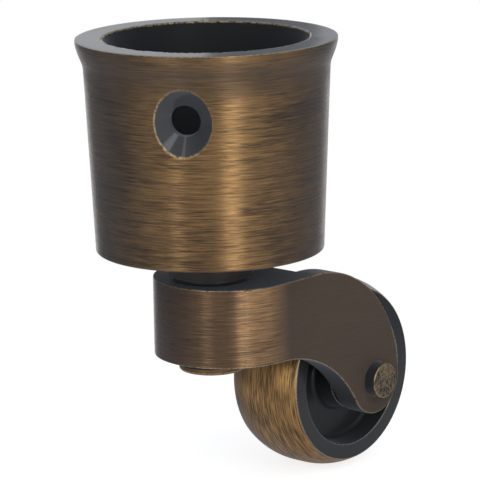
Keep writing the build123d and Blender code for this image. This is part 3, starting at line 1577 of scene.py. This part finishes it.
@dataclass
class Studio:
    """A white floor, soft light round the front, three tall strips, and a white backdrop.

    A narrow dark stand before the backdrop shows in what mirrors it. Angles are in degrees.
    """

    view: Viewpoint = field(default_factory=Viewpoint)
    strips: tuple[Strip, ...] = (
        Strip(24.5, 17.0, 1.95),
        Strip(-32.0, 9.0, 1.2),
        Strip(56.0, 44.0, 0.13, blur=20.0),
    )
    front: float = 0.66
    side: float = 0.11
    front_edge: float = 36.0
    side_edge: float = 112.0
    middle: float = 6.0
    backdrop_edge: float = 157.0
    backdrop_blur: float = 13.0
    backdrop: float = 0.85
    stand_edges: tuple[float, float, float] = (-0.57, 1.5, 16.0)
    stand_blur: float = 0.12
    stand_thin: float = 0.45
    stand_dark: float = 0.9
    stand_top: tuple[float, float] = (40.0, 60.0)
    overhead_rise: tuple[float, float] = (55.0, 80.0)
    overhead: float = 0.55
    floor_radius: float = 0.11
    floor_seen: float = 0.80
    floor_mirrored: float = 0.18
    cool: tuple[float, float, float] = (0.95, 0.97, 1.03)

    def soft_light(self, shade: Shade, bearing: Value, height: Value) -> Value:
        """The light round the front, with the strips in it.

        Args:
            shade: the world.
            bearing: degrees round from the camera.
            height: degrees above the horizon.

        Returns:
            How bright it is that way.
        """
        turned_away = shade.maths("ABSOLUTE", bearing - self.middle)
        soft = self.front - shade.ramp(turned_away, self.front_edge, self.side_edge) * (
            self.front - self.side
        )
        for strip in self.strips:
            off = shade.maths("ABSOLUTE", bearing - strip.bearing)
            half, blur, rise = strip.width / 2, strip.blur / 2, strip.top_blur / 2
            lit = 1 - shade.ramp(off, half - blur, half + blur)
            below_top = 1 - shade.ramp(height, strip.top - rise, strip.top + rise)
            soft = soft + lit * below_top * strip.brightness
        return soft

    def stand(self, shade: Shade, far_bearing: Value, height: Value) -> Value:
        """The dark stand before the backdrop, thinner beyond its middle edge.

        Args:
            shade: the world.
            far_bearing: degrees round from the point opposite the camera.
            height: degrees above the horizon.

        Returns:
            How dark it is that way.
        """
        left, thin, right = self.stand_edges
        fade = self.stand_blur
        dark = shade.ramp(far_bearing, left - fade, left + fade)
        dark = dark * (1 - self.stand_thin * shade.ramp(far_bearing, thin - fade, thin + fade))
        dark = dark * (1 - shade.ramp(far_bearing, right - fade, right + fade))
        return dark * (1 - shade.ramp(height, *self.stand_top))

    def world(self) -> None:
        """White to the camera, and to metal that mirrors the backdrop; soft light all round."""
        world = bpy.data.worlds.new("studio")
        bpy.context.scene.world = world
        world.use_nodes = True
        shade = Shade(world.node_tree)
        x, y, z = shade.split(shade.node("ShaderNodeTexCoord").outputs["Generated"])
        back = self.view.towards()
        near = Vector((back.x, back.y)).normalized()
        ahead = x * near.x + y * near.y
        sideways = y * near.x - x * near.y
        bearing = shade.maths("ARCTAN2", sideways, ahead) * math.degrees(1)
        level = (x * x + y * y + 1e-9) ** 0.5
        height = shade.maths("ARCTAN2", z, level) * math.degrees(1)
        soft = self.soft_light(shade, bearing, height)
        edge, blur = self.backdrop_edge, self.backdrop_blur
        behind = shade.ramp(shade.maths("ABSOLUTE", bearing), edge - blur, edge + blur)
        far_side = shade.maths("ARCTAN2", -1.0 * sideways, -1.0 * ahead) * math.degrees(-1)
        stand = self.stand(shade, far_side, height)
        overhead = shade.ramp(height, *self.overhead_rise)
        around = soft + behind * (self.backdrop - soft)
        around = around + overhead * (self.overhead - around)
        around = around * (1 - stand * self.stand_dark)
        dim = shade.node("ShaderNodeBackground", {}, {"Color": self.cool, "Strength": around})
        white = shade.node("ShaderNodeBackground", {}, {"Color": (1, 1, 1), "Strength": 1.0})
        path = shade.node("ShaderNodeLightPath")
        camera = Value(shade, path.outputs["Is Camera Ray"])
        mirrored = shade.maths(
            "MAXIMUM", path.outputs["Is Glossy Ray"], path.outputs["Is Transmission Ray"]
        )
        seen = shade.maths("MAXIMUM", camera, mirrored * behind * (1 - stand) * (1 - overhead))
        mixed = shade.node(
            "ShaderNodeMixShader", {}, {0: seen, 1: dim.outputs[0], 2: white.outputs[0]}
        )
        shade.node("ShaderNodeOutputWorld", {}, {"Surface": mixed.outputs[0]})

    def floor(self) -> None:
        """A white disc under the wheel that keeps its soft shadow and fades at its edge."""
        bm = bmesh.new()
        bmesh.ops.create_circle(bm, cap_ends=True, segments=96, radius=self.floor_radius)
        at = Vector((AXLE_TRAIL, 0.0, LEVELS.ground - 0.02)) * MM
        bmesh.ops.translate(bm, verts=list(bm.verts), vec=at)
        floor = loose_object(bm, "floor")
        made = bpy.data.materials.new("floor_white")
        made.use_nodes = True
        shade = Shade(made.node_tree)
        path = shade.node("ShaderNodeLightPath")
        camera = Value(shade, path.outputs["Is Camera Ray"])
        mirrored = Value(shade, path.outputs["Is Glossy Ray"])
        seen = camera * self.floor_seen + mirrored * self.floor_mirrored
        matt = shade.node("ShaderNodeBsdfDiffuse", {}, {"Color": (0.6, 0.6, 0.6)})
        glow = shade.node(
            "ShaderNodeEmission", {}, {"Color": (1, 1, 1), "Strength": seen}
        )
        both = shade.node("ShaderNodeAddShader", {}, {0: matt.outputs[0], 1: glow.outputs[0]})
        clear = shade.node("ShaderNodeBsdfTransparent")
        x, y, _ = shade.split(shade.place((AXLE_TRAIL, 0.0, 0.0)))
        reach = (x * x + y * y) ** 0.5
        rim = self.floor_radius / MM
        gone = shade.ramp(reach, 0.55 * rim, 0.98 * rim)
        under = shade.node("ShaderNodeNewGeometry").outputs["Backfacing"]
        hidden = shade.maths("MAXIMUM", gone, under)
        mixed = shade.node(
            "ShaderNodeMixShader", {}, {0: hidden, 1: both.outputs[0], 2: clear.outputs[0]}
        )
        shade.node("ShaderNodeOutputMaterial", {}, {"Surface": mixed.outputs[0]})
        floor.data.materials.append(made)

    def build(self) -> None:
        """Sets up the camera, the light and the floor."""
        self.view.place()
        self.world()
        self.floor()
        bpy.context.scene.view_settings.view_transform = "Standard"


def washers() -> list[Washer]:
    """The two washers of the swivel."""
    steel = AntiqueBrass("washer_black_steel", black=(0.010, 0.010, 0.011), black_roughness=0.35)
    return [
        Washer("thrust_washer_shown", "thrust_washer", Body.CUP, "washer_steel", steel),
        Washer(
            "head_washer_shown",
            "head_washer",
            Body.CUP,
            "washer_steel",
            steel,
            radius=4.9,
            top=LEVELS.head_washer_top,
            thickness=0.4,
        ),
    ]


def main() -> None:
    """Builds the castor and its studio."""
    logging.basicConfig(level=logging.INFO, format="%(name)s %(message)s")
    Studio().build()
    for piece in (Cup(), SwivelPin(), *washers(), Horn(), Wheel(), AxlePin()):
        piece.build()


if __name__ == "__main__":
    main()
